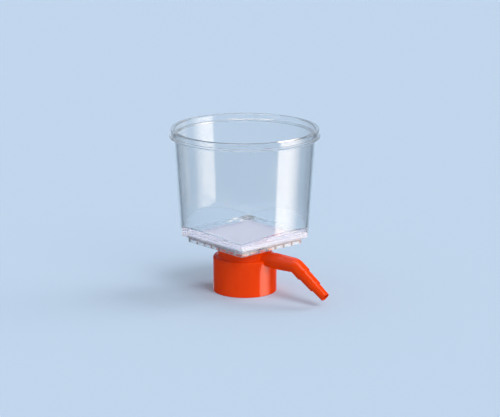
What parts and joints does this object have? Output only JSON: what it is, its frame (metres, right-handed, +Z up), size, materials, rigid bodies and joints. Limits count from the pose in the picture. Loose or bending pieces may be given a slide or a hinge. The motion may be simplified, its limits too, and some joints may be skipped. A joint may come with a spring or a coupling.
{
  "type": "bottle-top vacuum filter",
  "caption": "Clear round funnel over a square filter membrane, on a threaded bottle-neck adapter with a swivelling stepped hose connector at its side.",
  "frame": {"origin": "on the axis of the adapter's thread, in the plane of the skirt's open end", "axes": "+Z up along the thread's axis towards the funnel, +X along the suction port"},
  "size_m": [0.1497, 0.1244, 0.1379],
  "materials": {
    "clear_polystyrene": "clear, glossy, injection moulded",
    "filter_membrane": "matt white",
    "orange_plastic": "glossy, injection moulded",
    "silicone": "matt, moulded"
  },
  "bodies": {
    "filter": {"funnel": "clear_polystyrene", "membrane": "filter_membrane", "support_plate": "clear_polystyrene", "neck_adapter": "orange_plastic", "neck_seal": "silicone"},
    "connector": {"hose_connector": "orange_plastic"}
  },
  "joints": [
    {"name": "connector_swivel", "type": "hinge", "parent": "filter", "child": "connector", "pos_m": [0.0375, 0, 0.0304], "axis": [1, 0, 0], "continuous": true}
  ]
}
